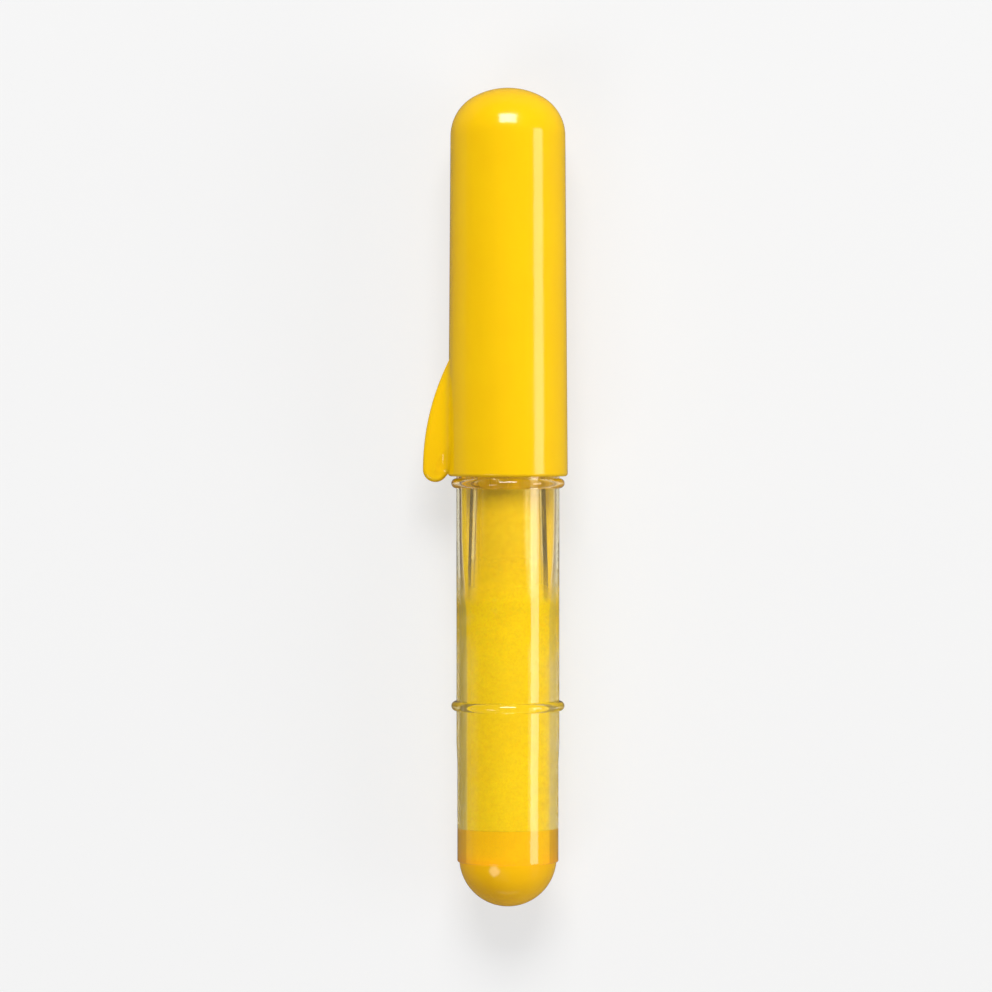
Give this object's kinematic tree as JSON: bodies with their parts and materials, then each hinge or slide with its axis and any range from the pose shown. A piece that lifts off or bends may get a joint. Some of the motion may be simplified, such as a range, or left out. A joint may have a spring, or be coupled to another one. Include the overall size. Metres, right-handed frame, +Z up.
{
  "type": "chalk wheel marker",
  "caption": "Pen-shaped tailor's marker: a clear barrel of chalk powder, a toothed wheel in the nose and a round-topped cap with a side fin.",
  "frame": {"origin": "middle of the bounding box's underside; the pen lies on its side, with the cap's rim and the fin's plane level on the floor", "axes": "+X along the pen from the tail towards the cap's top, +Y towards the fin on the cap, +Z up"},
  "size_m": [0.12, 0.0212, 0.0176],
  "materials": {
    "yellow_cap": "glossy opaque yellow, injection moulded",
    "yellow_plug": "glossy opaque yellow, injection moulded",
    "clear_barrel": "clear polystyrene, polished",
    "clear_holder": "clear polystyrene, polished",
    "white_liner": "natural polyethylene, satin",
    "white_fork": "white acetal, satin",
    "chalk": "packed loose yellow chalk powder",
    "wheel_brass": "stamped brass, lightly brushed",
    "pin_steel": "drawn steel pin"
  },
  "bodies": {
    "barrel_unit": {"barrel": "clear_barrel", "end_plug": "yellow_plug", "chalk_powder": "chalk"},
    "nib_unit": {"nib_holder": "clear_holder", "chalk_ring": "chalk", "wheel_fork": "white_fork", "wheel_axle": "pin_steel"},
    "cap": {"cap_shell": "yellow_cap", "inner_cap": "white_liner"},
    "wheel": {"chalk_wheel": "wheel_brass"}
  },
  "joints": [
    {"name": "nib_pull", "type": "slide", "parent": "barrel_unit", "child": "nib_unit", "axis": [1, 0, 0], "range_m": [0, 0.042]},
    {"name": "cap_pull", "type": "slide", "parent": "nib_unit", "child": "cap", "axis": [1, 0, 0], "range_m": [0, 0.05]},
    {"name": "wheel_spin", "type": "hinge", "parent": "nib_unit", "child": "wheel", "pos_m": [0.04435, -0.00185, 0.00878], "axis": [0, 1, 0], "continuous": true}
  ]
}
